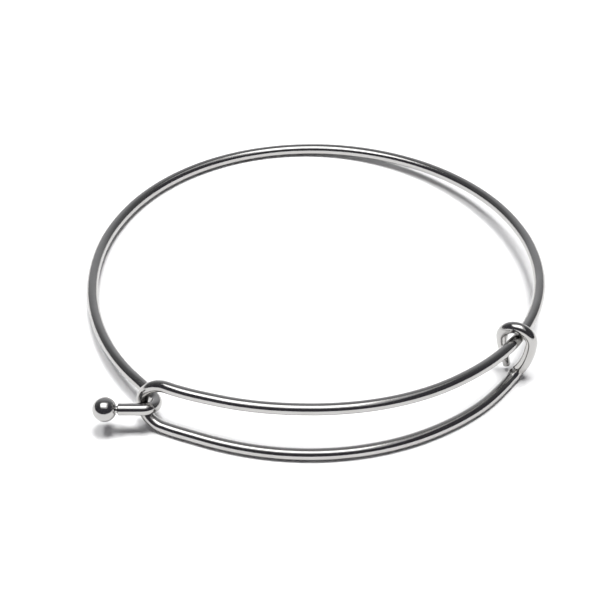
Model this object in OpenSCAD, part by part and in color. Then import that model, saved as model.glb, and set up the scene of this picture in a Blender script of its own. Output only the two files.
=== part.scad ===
// Expandable bangle bent from one round wire, lying on its side, with a small ball on the wire's end.
// The wire makes the ring, then turns back under itself as a hairpin of two rails, one over the other,
// and ends in a coil that slides along the ring. The ring's other end hooks into the hairpin's closed end.
// Angles are seen from above, counterclockwise from +X, about the middle of the ring.

/* [Wire] */
// Diameter of the round wire
wire_d = 1.6; // [1.2:0.1:2]
// Flat sides that stand for the round of the wire
wire_sides = 16; // [12:2:24]

/* [Ring] */
// Inner diameter of the ring, where the wrist goes
inner_d = 61.2; // [52:0.4:76]

/* [Hairpin] */
// Angle of the hairpin's closed end
closed_angle = -125.6; // [-130:0.4:-115]
// Height of the upper rail over the lower one, between their centres
rail_rise = 7; // [6:0.5:10]
// How far the lower rail stands out from the round of the ring
rail_step = 1.2; // [0.4:0.2:2]

/* [Hook] */
// Gap between the hook and the closed end that it goes through, at the middle of the bend
hook_gap = 0.18; // [0.18:0.02:0.4]
// How far below the middle of the closed end the hook and the stem pass
hook_drop = 0.1; // [0:0.1:0.4]
// How far below the stem the ring's end comes into the hook
entry_drop = 0.7; // [0:0.1:0.8]
// Heading of the wire as it comes into the hook
entry_heading = -57; // [-62:1:-50]
// Length of the straight stem between the hook and the ball
stem_len = 3.05; // [2:0.05:8]

/* [Ball] */
// Diameter of the ball
ball_d = 3.25; // [2.6:0.05:5]
// Thickness of the neck that the ball sits on, as a share of the wire's
neck_share = 0.8; // [0.6:0.05:0.85]
// Gap between the stem's end and the ball, and between the neck and its hole
ball_gap = 0.1; // [0.05:0.05:0.2]

/* [Coil] */
// Angle at which the coil goes over the wire
coil_angle = -32; // [-45:1:-20]
// Mean gap round the wire inside the coil
coil_gap = 0.45; // [0.35:0.05:0.8]
// How far the coil is turned from square to the wire
coil_turn = 8; // [0:1:20]
// Angle from the lower rail's corner to the coil
corner_back = 2.4; // [1:0.2:6]
// How far the corner leans outward as it turns up, as a share of its rise
corner_share = 0.5; // [0:0.1:0.8]
// Height of the tail's end over the surface
tail_lift = 1.05; // [0.8:0.05:2]
// How far the tail leans in under the wire
tail_lean = 1.1; // [0:0.1:1.2]
// Diameter of the tail's end
tail_tip_d = 1; // [0.8:0.1:1.2]

/* [Hidden] */
wire_r = wire_d / 2;
ring_r = (inner_d + wire_d) / 2;
neck_r = wire_r * neck_share;
ball_r = ball_d / 2;
steel = [0.78, 0.78, 0.8];
ball_sides = 64;

// How far the bent wire strays from the true round, for the ring and for the lower rail.
// Columns: share of the run from the closed end, distance outside the round as a share of its radius.
ring_stray = [[0, 0.049], [0.035, 0.019], [0.1, -0.0005], [0.2, 0.0075], [0.28, 0.0195], [0.33, 0.0156],
    [0.38, 0.0012], [0.425, -0.0123], [0.48, -0.0205], [0.54, -0.0163], [0.6, -0.0046], [0.66, 0.004],
    [0.72, 0.0106], [0.77, 0.0116], [0.82, 0.0035], [0.87, -0.0052], [0.93, -0.0008], [1, 0.018]];
rail_stray = [[0, 0.051], [0.09, 0.027], [0.25, 0.0097], [0.45, 0.0012], [0.7, 0.0016], [0.86, 0.0044],
    [0.93, 0.0016], [1, 0]];

// Heights of the ring's centre, from the closed end down to where it rests on the surface and up to the hook.
// Columns: share of the run from the closed end, height over the lower rail as a share of the hairpin's rise.
ring_rise = [[0, 0.891], [0.1, 0.999], [0.2, 0.925], [0.28, 0.766], [0.36, 0.578], [0.425, 0.42],
    [0.517, 0.186], [0.577, 0.066], [0.62, 0.016], [0.66, 0], [0.7, 0.002], [0.8, 0.045], [0.9, 0.205]];

// Degrees of the ring from one ring of facets to the next, and the steps along each bend
ring_step = 4;
closed_steps = 12;
hook_steps = 10;
lead_steps = 5;
corner_steps = 6;
arm_steps = 4;
coil_steps = 14;
tail_steps = 4;

// The ring ends and leads into the hook at this turn from the closed end
hook_angle = closed_angle + 347.6;
// The closed end reaches this many times its half width past the ends of the rails
closed_stretch = 1.06;
// The coil lies in and down from the middle of the wire by these shares of its gap
coil_in = coil_gap * 0.3;
coil_down = coil_gap * 0.5;
coil_r = wire_d + coil_gap;
coil_sweep = 182;
corner_angle = coil_angle - corner_back;
corner_r = wire_r * 1.3;
corner_turn = 80;
shoulder_len = 0.08;
shoulder_drop = 0.08;
stem_heading = -180;
// Small turn over which a bend's heading is measured
small_turn = 0.5;

// Small helpers for directions and smooth curves
function unit(v) = v / norm(v);
function turn(a) = [cos(a), sin(a), 0];
function up(z) = [0, 0, z];
function sway(t) = (1 - cos(180 * t)) / 2;
function span(n) = [for (i = [0:n]) i / n];
function reversed(p) = [for (i = [len(p) - 1:-1:0]) p[i]];
function but_last(p) = [for (i = [0:len(p) - 2]) p[i]];
function bezier(a, b, c, d, n) = [for (t = span(n))
    a * pow(1 - t, 3) + 3 * b * t * pow(1 - t, 2) + 3 * c * t * t * (1 - t) + d * pow(t, 3)];
// Curve from one point and heading to another, with handles a third of the way long
function joined(a, heading_a, b, heading_b, n) = let (reach = norm(b - a) / 3)
    bezier(a, a + heading_a * reach, b - heading_b * reach, b, n);

// Value of a two-column table at x, on a smooth curve through its rows
function row_slope(t, k) = let (a = max(k - 1, 0), b = min(k + 1, len(t) - 1))
    (t[b][1] - t[a][1]) / (t[b][0] - t[a][0]);
function row_before(t, x) = max([for (k = [0:len(t) - 2]) if (t[k][0] <= x || k == 0) k]);
function smooth_at(t, x) = let (
        k = row_before(t, x),
        w = t[k + 1][0] - t[k][0],
        s = (x - t[k][0]) / w,
        rise = s * s * (3 - 2 * s)
    )
    t[k][1] * (1 - rise) + t[k + 1][1] * rise
    + w * (row_slope(t, k) * s * pow(1 - s, 2) + row_slope(t, k + 1) * s * s * (s - 1));

// Heights of the wire's centre: the ring ends where the hook begins, a little below the stem
closed_height = wire_r + rail_rise * ring_rise[0][1] / 2;
stem_height = closed_height - hook_drop;
entry_height = stem_height - entry_drop;
ring_heights = concat(ring_rise, [[1, (entry_height - wire_r) / rail_rise]]);
function ring_height(a) = wire_r
    + rail_rise * max(0, smooth_at(ring_heights, (a - closed_angle) / (hook_angle - closed_angle)));

// Centre of the wire in the ring and upper rail, and in the lower rail that lies on the surface
function strayed(r, stray, a, end_angle) =
    r * (1 + smooth_at(stray, (a - closed_angle) / (end_angle - closed_angle))) * turn(a);
function ring_at(a) = strayed(ring_r, ring_stray, a, hook_angle) + up(ring_height(a));
function rail_at(a) = strayed(ring_r + rail_step, rail_stray, a, corner_angle) + up(wire_r);

// Closed end of the hairpin: half a turn from the upper rail round to the lower one
upper_end = ring_at(closed_angle);
lower_end = rail_at(closed_angle);
closed_mid = (upper_end + lower_end) / 2;
closed_half = (upper_end - lower_end) / 2;
closed_r = norm(closed_half);
upper_heading = unit(upper_end - ring_at(closed_angle + small_turn));
lower_heading = unit(lower_end - rail_at(closed_angle + small_turn));
closed_heading = unit(upper_heading + lower_heading);
function closed_at(a) = closed_mid + closed_half * cos(a)
    + unit(upper_heading * (1 - a / 180) + lower_heading * a / 180) * closed_r * closed_stretch * sin(a);

// The hook bends round the closed end at the height where it passes
held_r = closed_r / closed_stretch;
held_at = closed_mid - closed_half / closed_r * hook_drop
    + closed_heading * closed_stretch * sqrt(pow(closed_r, 2) - pow(hook_drop, 2));
hook_r = sqrt(pow(held_r, 2) - pow(hook_drop, 2))
    - sqrt(pow(held_r - wire_d - hook_gap, 2) - pow(hook_drop, 2));
function hook_at(t) = [held_at[0], held_at[1], stem_height - entry_drop * (1 - sway(t))]
    + hook_r * turn(entry_heading + (stem_heading - entry_heading) * t + 90);

// The stem runs straight on from the hook, with a thin neck on its end for the ball
stem_way = turn(stem_heading);
stem_end = hook_at(1) + stem_len * stem_way;
ball_at = stem_end + (ball_r + ball_gap) * stem_way;

// Coil: half a turn over the ring's wire, from the arm outside it to the tail inside it
coil_side = turn(coil_angle + coil_turn);
coil_mid = ring_at(coil_angle) - coil_side * coil_in - up(coil_down);
function coil_at(a) = coil_mid + coil_r * (coil_side * cos(a) + up(sin(a)));
coil_end = coil_at(coil_sweep);
coil_heading = up(cos(coil_sweep)) - coil_side * sin(coil_sweep);
tail_end = coil_end + coil_side * tail_lean + up(tail_lift - coil_end[2]);

// Corner: the lower rail turns up in a tight bend and leans out to the coil's outer side
corner_in = rail_at(corner_angle);
rail_heading = unit(corner_in - rail_at(corner_angle - small_turn));
corner_up = unit(up(1) + corner_share * turn(corner_angle));
function corner_at(a) = corner_in + corner_r * (rail_heading * sin(a) + corner_up * (1 - cos(a)));
corner_out = corner_at(corner_turn);
arm_heading = rail_heading * cos(corner_turn) + corner_up * sin(corner_turn);

// The parts of the wire's path in their order from the ball
neck_path = [ball_at - ball_gap * stem_way, stem_end];
stem_path = [for (s = [0, shoulder_len, stem_len / 2]) stem_end - s * stem_way];
hook_path = reversed([for (t = span(hook_steps)) hook_at(t)]);
ring_heading = unit(ring_at(hook_angle) - ring_at(hook_angle - small_turn));
lead_path = reversed(joined(ring_at(hook_angle), ring_heading, hook_at(0), turn(entry_heading), lead_steps));
ring_steps = round((hook_angle - closed_angle) / ring_step);
ring_path = [for (t = span(ring_steps)) ring_at(hook_angle + (closed_angle - hook_angle) * t)];
closed_path = [for (t = span(closed_steps)) closed_at(180 * t)];
rail_steps = round((corner_angle - closed_angle) / ring_step);
rail_path = [for (t = span(rail_steps)) rail_at(closed_angle + (corner_angle - closed_angle) * t)];
corner_path = [for (t = span(corner_steps)) corner_at(corner_turn * t)];
arm_path = joined(corner_out, arm_heading, coil_at(0), up(1), arm_steps);
coil_path = [for (t = span(coil_steps)) coil_at(coil_sweep * t)];
tail_path = joined(coil_end, coil_heading, tail_end, unit(tail_end - coil_end), tail_steps);
wire_path = concat(neck_path, stem_path, but_last(hook_path), but_last(lead_path), but_last(ring_path),
    but_last(closed_path), but_last(rail_path), but_last(corner_path), but_last(arm_path),
    but_last(coil_path), tail_path);

// Radius at each point: thin on the neck, chamfered at the stem's end, tapered along the tail
last = len(wire_path) - 1;
head_radii = [neck_r, neck_r, wire_r - shoulder_drop, wire_r];
function radius_at(i) = i < len(head_radii)
    ? head_radii[i]
    : wire_r + (tail_tip_d / 2 - wire_r) * max(0, i - last + tail_steps) / tail_steps;

// Facet rings square to the path, each turned as little as can be from the one before
function heading_at(i) = unit(wire_path[min(i + 1, last)] - wire_path[max(i - 1, 0)]);
function squared(side, heading) = unit(side - (side * heading) * heading);
facet_sides = [for (i = 0, side = squared([0, 0, 1], heading_at(0)); i <= last;
    i = i + 1, side = squared(side, heading_at(min(i, last)))) side];
function facet_ring(centre, side, other, r) = [for (k = [0:wire_sides - 1])
    centre + r * (side * cos(360 * k / wire_sides) + other * sin(360 * k / wire_sides))];
wire_points = [for (i = [0:last])
    each facet_ring(wire_path[i], facet_sides[i], cross(heading_at(i), facet_sides[i]), radius_at(i))];
wire_faces = concat(
    [[for (k = [0:wire_sides - 1]) k]],
    [for (i = [0:last - 1], k = [0:wire_sides - 1])
        let (a = i * wire_sides + k, b = i * wire_sides + (k + 1) % wire_sides)
        each [[a, a + wire_sides, b], [b, a + wire_sides, b + wire_sides]]],
    [[for (k = [wire_sides - 1:-1:0]) last * wire_sides + k]]
);

// The origin is the middle of the bangle's box, on the surface that it rests on
extent = concat(wire_points, [for (s = [-1, 1]) ball_at + s * ball_r * [1, 1, 1]]);
low_corner = [for (k = [0:2]) min([for (p = extent) p[k]])];
high_corner = [for (k = [0:2]) max([for (p = extent) p[k]])];
to_origin = [-(low_corner[0] + high_corner[0]) / 2, -(low_corner[1] + high_corner[1]) / 2, -low_corner[2]];

module bangle_wire() {
    color(steel)
        translate(to_origin)
            polyhedron(points = wire_points, faces = wire_faces, convexity = 10);
}

module end_ball() {
    color(steel)
        translate(to_origin + ball_at)
            rotate([0, 90, 0])
                difference() {
                    sphere(r = ball_r, $fn = ball_sides);
                    cylinder(r = neck_r + ball_gap, h = ball_d, $fn = ball_sides);
                }
}

bangle_wire();
end_ball();
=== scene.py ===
"""An expandable bangle bent from one polished steel wire, with a small ball on the wire's end.

The wire's path follows the same named sizes as the part's source, in millimetres, with finer steps.
"""

import math

import bmesh
import bpy
from mathutils import Matrix, Vector


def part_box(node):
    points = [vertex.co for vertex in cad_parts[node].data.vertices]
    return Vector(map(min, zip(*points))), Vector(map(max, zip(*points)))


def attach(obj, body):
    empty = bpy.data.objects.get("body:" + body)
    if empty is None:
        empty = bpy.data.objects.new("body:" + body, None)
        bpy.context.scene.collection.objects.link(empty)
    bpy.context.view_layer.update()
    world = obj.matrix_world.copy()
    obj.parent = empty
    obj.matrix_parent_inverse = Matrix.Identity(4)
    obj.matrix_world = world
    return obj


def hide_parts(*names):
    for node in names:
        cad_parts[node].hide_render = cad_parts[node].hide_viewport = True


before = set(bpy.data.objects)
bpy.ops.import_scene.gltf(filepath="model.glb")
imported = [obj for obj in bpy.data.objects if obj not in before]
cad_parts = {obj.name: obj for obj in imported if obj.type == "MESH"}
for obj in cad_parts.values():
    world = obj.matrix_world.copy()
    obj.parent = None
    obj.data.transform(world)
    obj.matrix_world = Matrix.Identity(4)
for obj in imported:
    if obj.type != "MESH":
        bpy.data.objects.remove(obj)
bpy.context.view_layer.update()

MM = 0.001
UP = Vector((0, 0, 1))

# The bangle's sizes in millimetres, and its angles in degrees
WIRE_D = 1.6
INNER_D = 61.2
CLOSED_ANGLE = -125.6
RAIL_RISE = 7
RAIL_STEP = 1.2
HOOK_GAP = 0.18
HOOK_DROP = 0.1
ENTRY_DROP = 0.7
ENTRY_HEADING = -57
STEM_HEADING = -180
STEM_LENGTH = 3.05
BALL_D = 3.25
NECK_SHARE = 0.8
BALL_GAP = 0.1
COIL_ANGLE = -32
COIL_GAP = 0.45
COIL_TURN = 8
COIL_SWEEP = 182
CORNER_BACK = 2.4
CORNER_SHARE = 0.5
CORNER_TURN = 80
TAIL_LIFT = 1.05
TAIL_LEAN = 1.1
TAIL_TIP_D = 1
HOOK_TURN = 347.6

WIRE_R = WIRE_D / 2
RING_R = (INNER_D + WIRE_D) / 2
NECK_R = WIRE_R * NECK_SHARE
BALL_R = BALL_D / 2
HOOK_ANGLE = CLOSED_ANGLE + HOOK_TURN
# The closed end reaches this many times its half width past the ends of the rails
CLOSED_STRETCH = 1.06
# The coil lies in and down from the middle of the wire by these shares of its gap
COIL_IN = COIL_GAP * 0.3
COIL_DOWN = COIL_GAP * 0.5
COIL_R = WIRE_D + COIL_GAP
CORNER_R = WIRE_R * 1.3
# The tight corner's inside is pressed out: share of the wire's thickness, and how far it reaches
CORNER_SWELL = 0.13
SWELL_REACH = 0.95
# Turn over which a bend's heading is measured, and the last stretch of rail that has finer steps
SMALL_TURN = 0.5
SHORT_TURN = 2
# The stem's end: radius of its rounded edge, and where the plain stem starts
STEM_ROUND = 0.1
STEM_START = 0.25
# The neck: depth of its groove as a share of the wire's thickness, and where it starts and leaves the
# ball, as shares of the ball's radius from its middle
GROOVE_DEPTH = 0.2
NECK_TIP = 0.3
NECK_MOUTH = 0.8
# The ball's hole: radius of its eased mouth, and its wall and floor as shares of the ball's radius
MOUTH_EASE = 0.06
HOLE_WALL = 0.4
HOLE_FLOOR = 0.05

# How far the bent wire strays from the true round: share of the run, share of the radius.
# These rows were measured and fitted by a program, not chosen by eye.
RING_STRAY = [
    (0, 0.049), (0.035, 0.019), (0.1, -0.0005), (0.2, 0.0075), (0.28, 0.0195), (0.33, 0.0156),
    (0.38, 0.0012), (0.425, -0.0123), (0.48, -0.0205), (0.54, -0.0163), (0.6, -0.0046), (0.66, 0.004),
    (0.72, 0.0106), (0.77, 0.0116), (0.82, 0.0035), (0.87, -0.0052), (0.93, -0.0008), (1, 0.018),
]
RAIL_STRAY = [
    (0, 0.051), (0.09, 0.027), (0.25, 0.0097), (0.45, 0.0012), (0.7, 0.0016), (0.86, 0.0044), (0.93, 0.0016),
    (1, 0),
]

# Heights of the ring's centre: share of the run from the closed end, share of the hairpin's rise
RING_RISE = [
    (0, 0.891), (0.1, 0.999), (0.2, 0.925), (0.28, 0.766), (0.36, 0.578), (0.425, 0.42), (0.517, 0.186),
    (0.577, 0.066), (0.62, 0.016), (0.66, 0), (0.7, 0.002), (0.8, 0.045), (0.9, 0.205),
]

# Steps along each stretch of the wire, and round it
RING_STEPS = 420
RAIL_STEPS = 130
BEND_STEPS = 48
SHORT_STEPS = 14
TAIL_STEPS = 28
EDGE_STEPS = 8
EASE_STEPS = 6
WIRE_SIDES = 64
BALL_SIDES = 96


def turn(angle):
    """Level direction at an angle from +X, seen from above."""
    return Vector((math.cos(math.radians(angle)), math.sin(math.radians(angle)), 0))


def sway(t):
    """Smooth rise from 0 to 1."""
    return (1 - math.cos(math.pi * t)) / 2


def span(steps):
    """Shares from 0 to 1, both ends included."""
    return [i / steps for i in range(steps + 1)]


def curve_between(a, heading_a, b, heading_b, steps):
    """Smooth curve from one point and heading to another, with handles a third of the way long."""
    reach = (b - a).length / 3
    c, d = a + heading_a * reach, b - heading_b * reach
    return [
        a * (1 - t) ** 3 + 3 * c * t * (1 - t) ** 2 + 3 * d * t * t * (1 - t) + b * t ** 3
        for t in span(steps)
    ]


def row_slope(table, k):
    """Slope of a two-column table at one of its rows."""
    a, b = max(k - 1, 0), min(k + 1, len(table) - 1)
    return (table[b][1] - table[a][1]) / (table[b][0] - table[a][0])


def smooth_at(table, x):
    """Value of a two-column table at x, on a smooth curve through its rows."""
    k = max(i for i in range(len(table) - 1) if table[i][0] <= x or i == 0)
    width = table[k + 1][0] - table[k][0]
    s = (x - table[k][0]) / width
    rise = s * s * (3 - 2 * s)
    bend = row_slope(table, k) * s * (1 - s) ** 2 + row_slope(table, k + 1) * s * s * (s - 1)
    return table[k][1] * (1 - rise) + table[k + 1][1] * rise + width * bend


# The ring ends where the hook begins, a little below the stem
CLOSED_HEIGHT = WIRE_R + RAIL_RISE * RING_RISE[0][1] / 2
STEM_HEIGHT = CLOSED_HEIGHT - HOOK_DROP
ENTRY_HEIGHT = STEM_HEIGHT - ENTRY_DROP
RING_HEIGHTS = RING_RISE + [(1, (ENTRY_HEIGHT - WIRE_R) / RAIL_RISE)]


def ring_height(angle):
    """Height of the ring's wire, which comes down from the upper rail and up again to the hook."""
    share = (angle - CLOSED_ANGLE) / (HOOK_ANGLE - CLOSED_ANGLE)
    return WIRE_R + RAIL_RISE * max(0, smooth_at(RING_HEIGHTS, share))


def strayed(radius, stray, angle, end_angle):
    """Point on the round, out by what the bent wire strays there."""
    share = (angle - CLOSED_ANGLE) / (end_angle - CLOSED_ANGLE)
    return radius * (1 + smooth_at(stray, share)) * turn(angle)


def ring_at(angle):
    return strayed(RING_R, RING_STRAY, angle, HOOK_ANGLE) + UP * ring_height(angle)


CORNER_ANGLE = COIL_ANGLE - CORNER_BACK


def rail_at(angle):
    return strayed(RING_R + RAIL_STEP, RAIL_STRAY, angle, CORNER_ANGLE) + UP * WIRE_R


# The hairpin's closed end: half a turn from the upper rail round to the lower one
upper_end = ring_at(CLOSED_ANGLE)
lower_end = rail_at(CLOSED_ANGLE)
closed_mid = (upper_end + lower_end) / 2
closed_half = (upper_end - lower_end) / 2
closed_r = closed_half.length
upper_heading = (upper_end - ring_at(CLOSED_ANGLE + SMALL_TURN)).normalized()
lower_heading = (lower_end - rail_at(CLOSED_ANGLE + SMALL_TURN)).normalized()
closed_heading = (upper_heading + lower_heading).normalized()


def closed_at(angle):
    way = (upper_heading * (1 - angle / 180) + lower_heading * angle / 180).normalized()
    a = math.radians(angle)
    return closed_mid + closed_half * math.cos(a) + way * closed_r * CLOSED_STRETCH * math.sin(a)


# The hook bends round the closed end at the height where it passes
held_r = closed_r / CLOSED_STRETCH
held_at = (
    closed_mid
    - closed_half / closed_r * HOOK_DROP
    + closed_heading * CLOSED_STRETCH * math.sqrt(closed_r ** 2 - HOOK_DROP ** 2)
)
hook_r = math.sqrt(held_r ** 2 - HOOK_DROP ** 2) - math.sqrt(
    (held_r - WIRE_D - HOOK_GAP) ** 2 - HOOK_DROP ** 2
)


def hook_at(t):
    middle = Vector((held_at.x, held_at.y, STEM_HEIGHT - ENTRY_DROP * (1 - sway(t))))
    return middle + hook_r * turn(ENTRY_HEADING + (STEM_HEADING - ENTRY_HEADING) * t + 90)


# The stem runs straight on from the hook, and the ball sits on a thin neck on its end
stem_way = turn(STEM_HEADING)
stem_end = hook_at(1) + STEM_LENGTH * stem_way
ball_at = stem_end + (BALL_R + BALL_GAP) * stem_way

# The coil: half a turn over the ring's wire, from the arm outside it to the tail inside it
coil_side = turn(COIL_ANGLE + COIL_TURN)
coil_mid = ring_at(COIL_ANGLE) - coil_side * COIL_IN - UP * COIL_DOWN


def coil_at(angle):
    a = math.radians(angle)
    return coil_mid + COIL_R * (coil_side * math.cos(a) + UP * math.sin(a))


coil_end = coil_at(COIL_SWEEP)
end_turn = math.radians(COIL_SWEEP)
coil_heading = UP * math.cos(end_turn) - coil_side * math.sin(end_turn)
tail_end = coil_end + coil_side * TAIL_LEAN + UP * (TAIL_LIFT - coil_end.z)

# The corner: the lower rail turns up in a tight bend and leans out to the coil's outer side
corner_in = rail_at(CORNER_ANGLE)
rail_heading = (corner_in - rail_at(CORNER_ANGLE - SMALL_TURN)).normalized()
corner_up = (UP + CORNER_SHARE * turn(CORNER_ANGLE)).normalized()


def corner_at(angle):
    a = math.radians(angle)
    return corner_in + CORNER_R * (rail_heading * math.sin(a) + corner_up * (1 - math.cos(a)))


def swelling(point):
    """How far the wire is pressed out near its tight corner, as a share of its thickness."""
    away = min((point - corner_in).length / SWELL_REACH, 1)
    return CORNER_SWELL * (1 + math.cos(math.pi * away)) / 2


corner_end = math.radians(CORNER_TURN)
arm_heading = rail_heading * math.cos(corner_end) + corner_up * math.sin(corner_end)

# The CAD ball says where the path lies in the frame; its hole opens towards +X
ball_low, ball_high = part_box("end_ball")
to_frame = Vector((
    ball_low.x / MM + BALL_R - ball_at.x,
    (ball_low.y + ball_high.y) / 2 / MM - ball_at.y,
    (ball_low.z + ball_high.z) / 2 / MM - ball_at.z,
))


def stem_end_points():
    """Grooved neck and the stem's rounded end: points with their thickness as a share of the wire's."""
    groove = NECK_SHARE - GROOVE_DEPTH
    points = [(ball_at - k * BALL_R * stem_way, NECK_SHARE) for k in (NECK_TIP, NECK_MOUTH)]
    points += [(stem_end + BALL_GAP * k * stem_way, groove) for k in (2, 1, 0.5)]
    points.append((stem_end, NECK_SHARE))
    for t in span(EDGE_STEPS):
        a = math.radians(90 * t)
        back = stem_end - STEM_ROUND * (1 - math.cos(a)) * stem_way
        points.append((back, (WIRE_R - STEM_ROUND + STEM_ROUND * math.sin(a)) / WIRE_R))
    return points


def tail_points():
    """The tail tapers to a cut tip with a rounded edge."""
    tail_heading = (tail_end - coil_end).normalized()
    run = curve_between(coil_end, coil_heading, tail_end, tail_heading, TAIL_STEPS)
    tip_share = TAIL_TIP_D / WIRE_D
    return [(p, 1 + (tip_share - 1) * t) for p, t in zip(run, span(TAIL_STEPS))]


def wire_points():
    """The whole wire from the ball to the tail: points with their thickness as a share of the wire's."""
    ring_end = ring_at(HOOK_ANGLE)
    ring_heading = (ring_end - ring_at(HOOK_ANGLE - SMALL_TURN)).normalized()
    stretches = [
        [stem_end - (STEM_START + (STEM_LENGTH - STEM_START) * t) * stem_way for t in span(SHORT_STEPS)],
        [hook_at(1 - t) for t in span(BEND_STEPS)],
        curve_between(ring_end, ring_heading, hook_at(0), turn(ENTRY_HEADING), SHORT_STEPS)[::-1],
        [ring_at(HOOK_ANGLE + (CLOSED_ANGLE - HOOK_ANGLE) * t) for t in span(RING_STEPS)],
        [closed_at(180 * t) for t in span(BEND_STEPS)],
        [rail_at(CLOSED_ANGLE + (CORNER_ANGLE - SHORT_TURN - CLOSED_ANGLE) * t) for t in span(RAIL_STEPS)],
        [rail_at(CORNER_ANGLE + SHORT_TURN * (t - 1)) for t in span(SHORT_STEPS)],
        [corner_at(CORNER_TURN * t) for t in span(SHORT_STEPS)],
        curve_between(corner_at(CORNER_TURN), arm_heading, coil_at(0), UP, SHORT_STEPS),
        [coil_at(COIL_SWEEP * t) for t in span(BEND_STEPS)],
    ]
    points = stem_end_points()
    for stretch in stretches:
        points += [(p + UP * WIRE_R * swelling(p), 1 + swelling(p)) for p in stretch[:-1]]
    points += tail_points()
    return [((p + to_frame) * MM, share) for p, share in points]


def path_object(name, points):
    """A mesh of one open line, with the wire's thickness stored at each point."""
    mesh = bpy.data.meshes.new(name)
    mesh.from_pydata([p for p, _ in points], [(i, i + 1) for i in range(len(points) - 1)], [])
    mesh.attributes.new("thickness", "FLOAT", "POINT").data.foreach_set("value", [s for _, s in points])
    piece = bpy.data.objects.new(name, mesh)
    bpy.context.scene.collection.objects.link(piece)
    return piece


def drawn_wire_tree():
    """Geometry Nodes: a round wire along a line, with a coordinate that runs straight along the wire."""
    tree = bpy.data.node_groups.new("drawn wire", "GeometryNodeTree")
    face = tree.interface
    face.new_socket("Geometry", in_out="INPUT", socket_type="NodeSocketGeometry")
    face.new_socket("Wire radius", in_out="INPUT", socket_type="NodeSocketFloat")
    face.new_socket("Sides", in_out="INPUT", socket_type="NodeSocketInt")
    face.new_socket("Steel", in_out="INPUT", socket_type="NodeSocketMaterial")
    face.new_socket("Geometry", in_out="OUTPUT", socket_type="NodeSocketGeometry")
    nodes, links = tree.nodes, tree.links
    given = nodes.new("NodeGroupInput")
    result = nodes.new("NodeGroupOutput")

    thickness = nodes.new("GeometryNodeInputNamedAttribute")
    thickness.inputs["Name"].default_value = "thickness"
    radius = nodes.new("ShaderNodeMath")
    radius.operation = "MULTIPLY"
    links.new(thickness.outputs["Attribute"], radius.inputs[0])
    links.new(given.outputs["Wire radius"], radius.inputs[1])

    line = nodes.new("GeometryNodeMeshToCurve")
    links.new(given.outputs["Geometry"], line.inputs["Mesh"])
    along = nodes.new("GeometryNodeCaptureAttribute")
    along.capture_items.new("FLOAT", "Along")
    along.capture_items.new("FLOAT", "Radius")
    run = nodes.new("GeometryNodeSplineParameter")
    links.new(line.outputs["Curve"], along.inputs["Geometry"])
    links.new(run.outputs["Length"], along.inputs["Along"])
    links.new(radius.outputs[0], along.inputs["Radius"])

    profile = nodes.new("GeometryNodeCurvePrimitiveCircle")
    profile.inputs["Radius"].default_value = 1
    links.new(given.outputs["Sides"], profile.inputs["Resolution"])
    around = nodes.new("GeometryNodeCaptureAttribute")
    around.capture_items.new("VECTOR", "Round")
    place = nodes.new("GeometryNodeInputPosition")
    links.new(profile.outputs["Curve"], around.inputs["Geometry"])
    links.new(place.outputs["Position"], around.inputs["Round"])

    sweep = nodes.new("GeometryNodeCurveToMesh")
    sweep.inputs["Fill Caps"].default_value = True
    links.new(along.outputs["Geometry"], sweep.inputs["Curve"])
    links.new(around.outputs["Geometry"], sweep.inputs["Profile Curve"])
    links.new(along.outputs["Radius"], sweep.inputs["Scale"])

    split = nodes.new("ShaderNodeSeparateXYZ")
    links.new(around.outputs["Round"], split.inputs[0])
    widths = []
    for axis in ("X", "Y"):
        width = nodes.new("ShaderNodeMath")
        width.operation = "MULTIPLY"
        links.new(split.outputs[axis], width.inputs[0])
        links.new(along.outputs["Radius"], width.inputs[1])
        widths.append(width)
    straight = nodes.new("ShaderNodeCombineXYZ")
    links.new(along.outputs["Along"], straight.inputs["X"])
    links.new(widths[0].outputs[0], straight.inputs["Y"])
    links.new(widths[1].outputs[0], straight.inputs["Z"])
    store = nodes.new("GeometryNodeStoreNamedAttribute")
    store.data_type = "FLOAT_VECTOR"
    store.domain = "POINT"
    store.inputs["Name"].default_value = "straight"
    links.new(sweep.outputs["Mesh"], store.inputs["Geometry"])
    links.new(straight.outputs[0], store.inputs["Value"])

    smooth = nodes.new("GeometryNodeSetShadeSmooth")
    real = nodes.new("GeometryNodeRealizeInstances")
    finish = nodes.new("GeometryNodeSetMaterial")
    links.new(store.outputs["Geometry"], smooth.inputs["Geometry"])
    links.new(smooth.outputs["Geometry"], real.inputs["Geometry"])
    links.new(real.outputs["Geometry"], finish.inputs["Geometry"])
    links.new(given.outputs["Steel"], finish.inputs["Material"])
    links.new(finish.outputs["Geometry"], result.inputs["Geometry"])
    return tree


def socket_named(tree, name):
    """Identifier of a tree's input, which a modifier's value is set by."""
    return next(s.identifier for s in tree.interface.items_tree if s.name == name and s.in_out == "INPUT")


def made_plain(piece):
    """The piece's evaluated mesh takes the place of its line and modifier."""
    graph = bpy.context.evaluated_depsgraph_get()
    mesh = bpy.data.meshes.new_from_object(piece.evaluated_get(graph))
    piece.modifiers.clear()
    piece.data = mesh
    return piece


def bent_wire(steel):
    piece = path_object("bent_wire", wire_points())
    tree = drawn_wire_tree()
    wire = piece.modifiers.new("drawn wire", "NODES")
    wire.node_group = tree
    wire[socket_named(tree, "Wire radius")] = WIRE_R * MM
    wire[socket_named(tree, "Sides")] = WIRE_SIDES
    wire[socket_named(tree, "Steel")] = steel
    return made_plain(piece)


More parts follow.
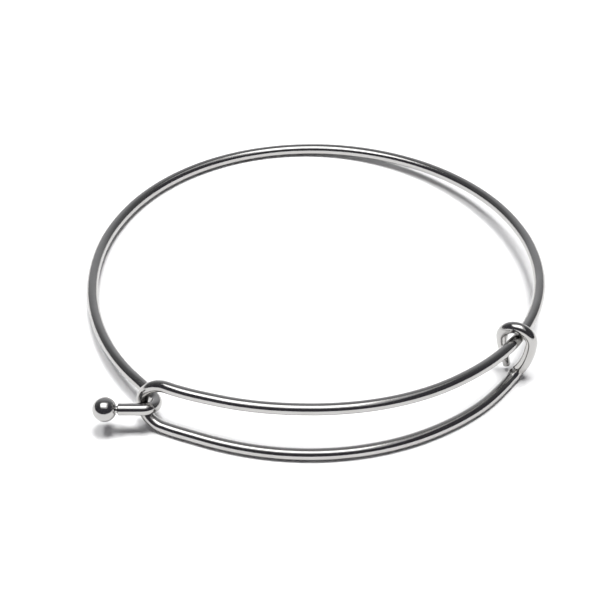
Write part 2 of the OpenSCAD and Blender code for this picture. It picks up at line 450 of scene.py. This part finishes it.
def turned_ball(steel):
    """The ball, turned about the stem's axis: a sphere with a blind hole for the neck, its mouth eased."""
    hole_r = NECK_R + BALL_GAP
    mouth = math.asin((hole_r + MOUTH_EASE) / BALL_R)
    outline = [
        (-math.cos(a) * BALL_R, math.sin(a) * BALL_R)
        for a in (math.pi * t * (1 - mouth / math.pi) for t in span(BALL_SIDES))
    ]
    mouth_x = math.cos(mouth) * BALL_R
    for t in span(EASE_STEPS)[1:]:
        a = math.pi / 2 * t
        outline.append((mouth_x - MOUTH_EASE * (1 - math.cos(a)), hole_r + MOUTH_EASE * (1 - math.sin(a))))
    outline += [(HOLE_WALL * BALL_R, hole_r), (HOLE_FLOOR * BALL_R, hole_r), (0, 0)]
    mesh = bpy.data.meshes.new("steel_ball")
    work = bmesh.new()
    verts = [work.verts.new((x, 0, r)) for x, r in outline]
    for a, b in zip(verts, verts[1:]):
        work.edges.new((a, b))
    bmesh.ops.spin(
        work, geom=work.verts[:] + work.edges[:], axis=(1, 0, 0), cent=(0, 0, 0),
        steps=BALL_SIDES, angle=2 * math.pi, use_merge=True,
    )
    bmesh.ops.remove_doubles(work, verts=work.verts, dist=1e-4)
    bmesh.ops.recalc_face_normals(work, faces=work.faces)
    for face in work.faces:
        face.smooth = True
    work.to_mesh(mesh)
    work.free()
    mesh.transform(Matrix.Scale(MM, 4) @ Matrix.Translation(ball_at + to_frame))
    mesh.materials.append(steel)
    piece = bpy.data.objects.new("steel_ball", mesh)
    bpy.context.scene.collection.objects.link(piece)
    return piece


def group_with(name, inputs, outputs):
    """A shader group with named number and vector sockets."""
    group = bpy.data.node_groups.new(name, "ShaderNodeTree")
    for label, kind, value in inputs:
        socket = group.interface.new_socket(label, in_out="INPUT", socket_type="NodeSocket" + kind)
        if value is not None:
            socket.default_value = value
    for label, kind in outputs:
        group.interface.new_socket(label, in_out="OUTPUT", socket_type="NodeSocket" + kind)
    return group, group.nodes.new("NodeGroupInput"), group.nodes.new("NodeGroupOutput")


def polish_marks():
    """Shader group: fine lines left by drawing and polishing, and a faint clouding from handling."""
    group, given, result = group_with(
        "polish marks",
        [("Place", "Vector", None), ("Lines per metre", "Float", 6000), ("Length share", "Float", 0.01),
         ("Clouds per metre", "Float", 400)],
        [("Lines", "Float"), ("Clouding", "Float")],
    )
    nodes, links = group.nodes, group.links
    squeeze = nodes.new("ShaderNodeCombineXYZ")
    links.new(given.outputs["Length share"], squeeze.inputs["X"])
    squeeze.inputs["Y"].default_value = 1
    squeeze.inputs["Z"].default_value = 1
    drawn_out = nodes.new("ShaderNodeVectorMath")
    drawn_out.operation = "MULTIPLY"
    links.new(given.outputs["Place"], drawn_out.inputs[0])
    links.new(squeeze.outputs[0], drawn_out.inputs[1])
    lines = nodes.new("ShaderNodeTexNoise")
    lines.inputs["Detail"].default_value = 3
    lines.inputs["Roughness"].default_value = 0.6
    links.new(drawn_out.outputs[0], lines.inputs["Vector"])
    links.new(given.outputs["Lines per metre"], lines.inputs["Scale"])
    clouds = nodes.new("ShaderNodeTexNoise")
    clouds.inputs["Detail"].default_value = 4
    links.new(given.outputs["Place"], clouds.inputs["Vector"])
    links.new(given.outputs["Clouds per metre"], clouds.inputs["Scale"])
    links.new(lines.outputs["Fac"], result.inputs["Lines"])
    links.new(clouds.outputs["Fac"], result.inputs["Clouding"])
    return group


def mapped(nodes, links, value, low, high, start=0.3, stop=0.7):
    """A mask stretched from its usual range to a range of values."""
    node = nodes.new("ShaderNodeMapRange")
    node.inputs["From Min"].default_value = start
    node.inputs["From Max"].default_value = stop
    node.inputs["To Min"].default_value = low
    node.inputs["To Max"].default_value = high
    links.new(value, node.inputs["Value"])
    return node.outputs["Result"]


def polished_steel(name, marks, place, lines, length_share, depth):
    """Polished stainless steel: bright, faintly clouded, with fine polishing lines."""
    material = bpy.data.materials.new(name)
    material.use_nodes = True
    nodes, links = material.node_tree.nodes, material.node_tree.links
    shader = nodes["Principled BSDF"]
    shader.inputs["Metallic"].default_value = 1
    if place == "Object":
        source = nodes.new("ShaderNodeTexCoord").outputs["Object"]
    else:
        attribute = nodes.new("ShaderNodeAttribute")
        attribute.attribute_name = place
        source = attribute.outputs["Vector"]
    finish = nodes.new("ShaderNodeGroup")
    finish.node_tree = marks
    finish.inputs["Lines per metre"].default_value = lines
    finish.inputs["Length share"].default_value = length_share
    links.new(source, finish.inputs["Place"])
    tint = nodes.new("ShaderNodeMix")
    tint.data_type = "RGBA"
    tint.inputs["A"].default_value = (0.44, 0.432, 0.422, 1)
    tint.inputs["B"].default_value = (0.475, 0.47, 0.462, 1)
    links.new(mapped(nodes, links, finish.outputs["Clouding"], 0, 1), tint.inputs["Factor"])
    links.new(tint.outputs["Result"], shader.inputs["Base Color"])
    links.new(mapped(nodes, links, finish.outputs["Lines"], 0.1, 0.2), shader.inputs["Roughness"])
    bump = nodes.new("ShaderNodeBump")
    bump.inputs["Strength"].default_value = 0.5
    bump.inputs["Distance"].default_value = depth
    links.new(finish.outputs["Lines"], bump.inputs["Height"])
    links.new(bump.outputs["Normal"], shader.inputs["Normal"])
    return material


marks = polish_marks()
wire = bent_wire(polished_steel("polished wire", marks, "straight", 3600, 0.006, 0.000007))
ball = turned_ball(polished_steel("polished ball", marks, "Object", 2500, 1, 0.000004))
for piece, node in ((wire, "bangle_wire"), (ball, "end_ball")):
    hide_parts(node)
    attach(piece, "root")


def floor():
    """Plain white floor, far wider than the camera sees."""
    reach = 1.5
    mesh = bpy.data.meshes.new("floor")
    corners = [(-reach, -reach, 0), (reach, -reach, 0), (reach, reach, 0), (-reach, reach, 0)]
    mesh.from_pydata(corners, [], [(0, 1, 2, 3)])
    white = bpy.data.materials.new("white floor")
    white.use_nodes = True
    shader = white.node_tree.nodes["Principled BSDF"]
    shader.inputs["Base Color"].default_value = (0.9, 0.9, 0.9, 1)
    shader.inputs["Roughness"].default_value = 0.9
    shader.inputs["Specular IOR Level"].default_value = 0
    mesh.materials.append(white)
    piece = bpy.data.objects.new("floor", mesh)
    bpy.context.scene.collection.objects.link(piece)


def soft_light(name, middle, size, radiance, seen_in_steel, lights_floor):
    """Rectangular area light that faces down, as bright as its radiance says."""
    data = bpy.data.lights.new(name, "AREA")
    data.shape = "RECTANGLE"
    data.size, data.size_y = size[0] * MM, size[1] * MM
    data.energy = radiance * math.pi * data.size * data.size_y
    lamp = bpy.data.objects.new(name, data)
    lamp.location = Vector(middle) * MM
    lamp.visible_glossy = seen_in_steel
    lamp.visible_diffuse = lights_floor
    bpy.context.scene.collection.objects.link(lamp)


def dim_room():
    """World light: near dark on the camera's side, mid grey behind. The camera sees a white backdrop."""
    world = bpy.data.worlds.new("dim room")
    bpy.context.scene.world = world
    world.use_nodes = True
    nodes, links = world.node_tree.nodes, world.node_tree.links
    way = nodes.new("ShaderNodeTexCoord")
    split = nodes.new("ShaderNodeSeparateXYZ")
    links.new(way.outputs["Generated"], split.inputs[0])
    ramp = nodes.new("ShaderNodeValToRGB")
    share = nodes.new("ShaderNodeMapRange")
    share.inputs["From Min"].default_value = -1
    share.inputs["From Max"].default_value = 1
    links.new(split.outputs["Y"], share.inputs["Value"])
    links.new(share.outputs["Result"], ramp.inputs["Fac"])
    bluish, plain = (1, 0.97, 1.14), (1, 1.01, 1.05)
    stops = [(0, 0.058, bluish), (0.5, 0.063, bluish), (0.65, 0.115, plain), (0.78, 0.17, plain)]
    stops += [(0.87, 0.34, plain), (0.95, 0.5, plain), (1, 0.55, plain)]
    while len(ramp.color_ramp.elements) < len(stops):
        ramp.color_ramp.elements.new(0.5)
    for stop, (at, grey, tint) in zip(ramp.color_ramp.elements, stops):
        stop.position = at
        stop.color = [grey * part for part in tint] + [1]
    links.new(ramp.outputs["Color"], nodes["Background"].inputs["Color"])
    backdrop = nodes.new("ShaderNodeBackground")
    backdrop.inputs["Color"].default_value = (1, 1, 1, 1)
    seen = nodes.new("ShaderNodeLightPath")
    either = nodes.new("ShaderNodeMixShader")
    links.new(seen.outputs["Is Camera Ray"], either.inputs[0])
    links.new(nodes["Background"].outputs[0], either.inputs[1])
    links.new(backdrop.outputs[0], either.inputs[2])
    links.new(either.outputs[0], nodes["World Output"].inputs["Surface"])


def camera():
    """The photograph's view: 240 mm from the ring's middle, 43 degrees above the floor, a little aside."""
    data = bpy.data.cameras.new("camera")
    data.sensor_width = 36
    data.lens = 101.95
    data.clip_start = 0.01
    data.clip_end = 10
    eye = bpy.data.objects.new("camera", data)
    bpy.context.scene.collection.objects.link(eye)
    bpy.context.scene.camera = eye
    elevation, distance, yaw, pitch = (math.radians(43), 240, math.radians(-0.5395), math.radians(0.3372))
    aside = Vector((-4.096, -4.601, 0))
    away = Vector((0, -math.cos(elevation), math.sin(elevation))) * distance
    place = Matrix.Translation((away + aside + to_frame) * MM)
    look = Matrix.Rotation(math.pi / 2 - elevation, 4, "X")
    aim = Matrix.Rotation(yaw, 4, "Y") @ Matrix.Rotation(pitch, 4, "X")
    eye.matrix_world = place @ look @ aim


def studio():
    floor()
    camera()
    dim_room()
    soft_light("panel", (-62, -45, 300), (284, 190), 2.7, True, False)
    soft_light("panel edge", (-12, -60, 301), (344, 360), 0.6, True, False)
    soft_light("right lamp", (217, 169, 2500), (775, 850), 31, False, True)
    soft_light("left lamp", (-835, 87, 2500), (475, 637), 33, False, True)
    soft_light("roof", (0, 0, 1000), (1600, 1600), 0.06, False, True)
    bpy.context.scene.view_settings.view_transform = "Standard"


studio()
